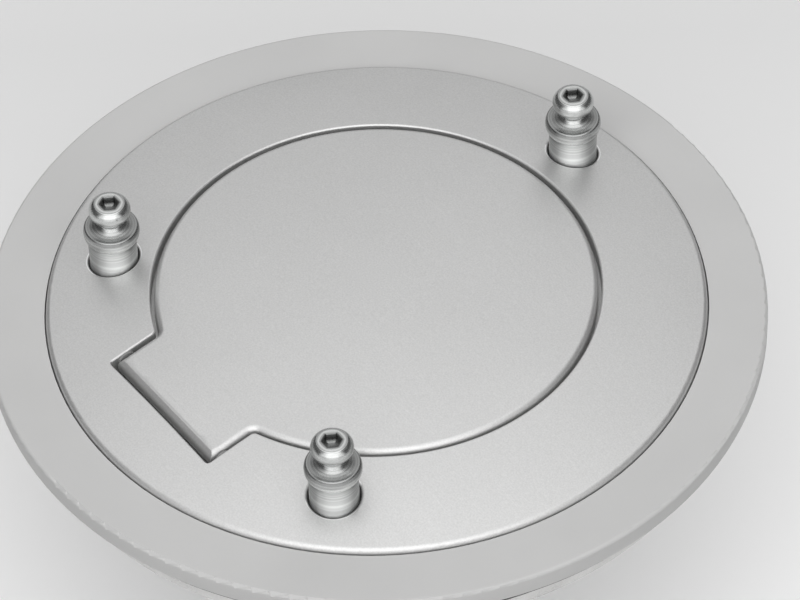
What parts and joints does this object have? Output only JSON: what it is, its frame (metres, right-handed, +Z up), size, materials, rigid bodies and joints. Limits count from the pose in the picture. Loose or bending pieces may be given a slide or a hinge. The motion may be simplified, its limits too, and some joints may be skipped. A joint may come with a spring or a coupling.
{
  "type": "flush round deck filler",
  "caption": "Flush round deck filler with a crowned face plate, hinged lid, ball studs, splash well and screw-capped filler neck.",
  "frame": {"origin": "middle of the deck opening, on the deck's surface, where the ring's gasket lies", "axes": "+Z up out of the deck, -Y towards the lid's hinge tab, +Y towards the latch, +X to the right seen from the hinge with +Z up"},
  "size_m": [0.194, 0.194, 0.1256],
  "materials": {
    "satin_face": "satin, fine grain, clear anodised",
    "grey_ring": "smooth grey coat, semi-gloss",
    "polished_steel": "polished stainless steel with turning marks",
    "stainless": "plain stainless steel",
    "brass": "turned brass",
    "black_rubber": "matt black rubber",
    "well_plastic": "black moulded nylon, fine texture",
    "cap_plastic": "black moulded nylon with moulded grip",
    "latch_plastic": "black acetal",
    "white_plastic": "natural acetal",
    "grey_plastic": "grey acetal",
    "magnet": "nickel-plated magnet",
    "spring_steel": "drawn spring wire"
  },
  "bodies": {
    "root": {"deck_gasket": "black_rubber", "deck_flange": "grey_ring", "clamp_ring": "stainless", "clamp_screws": "stainless", "stud_inserts": "brass", "plate_gasket": "black_rubber", "face_plate": "satin_face", "stud_seals": "black_rubber", "stud_hinge_left": "polished_steel", "stud_hinge_right": "polished_steel", "stud_latch_side": "polished_steel", "well_gasket": "black_rubber", "splash_well": "well_plastic", "well_screws": "stainless", "neck_gasket": "black_rubber", "filler_neck": "stainless", "bond_washer": "brass", "neck_nut": "well_plastic", "hinge_bushes": "grey_plastic", "latch_body": "latch_plastic", "latch_spring": "spring_steel", "latch_screws": "stainless"},
    "lid": {"lid": "satin_face", "lid_seal": "black_rubber", "hinge_pins": "stainless", "pin_spring": "spring_steel", "strike_plate": "stainless", "strike_screw": "stainless"},
    "cap_seal_carrier": {"cap_seal": "black_rubber"},
    "cap": {"filler_cap": "cap_plastic"},
    "plunger": {"latch_plunger": "white_plastic", "latch_magnet": "magnet"}
  },
  "joints": [
    {"name": "lid_hinge", "type": "hinge", "parent": "root", "child": "lid", "pos_m": [0, -0.061, 0.00821], "axis": [1, 0, 0], "range_deg": [0, 105]},
    {"name": "cap_turn", "type": "hinge", "parent": "cap_seal_carrier", "child": "cap", "pos_m": [0, 0, -0.013], "axis": [0, 0, 1], "range_deg": [0, 630]},
    {"name": "cap_lift", "type": "slide", "parent": "root", "child": "cap_seal_carrier", "axis": [0, 0, 1], "range_m": [0, 0.0071]},
    {"name": "latch_press", "type": "slide", "parent": "root", "child": "plunger", "axis": [0, 0, 1], "range_m": [-0.002, 0], "stiffness_N_per_m": 800, "springref_m": 0.004, "deforming": ["latch_spring"]}
  ],
  "couplings": [
    {"joint": "cap_lift", "follows": "cap_turn", "m_per_rad": 0.00063662}
  ]
}
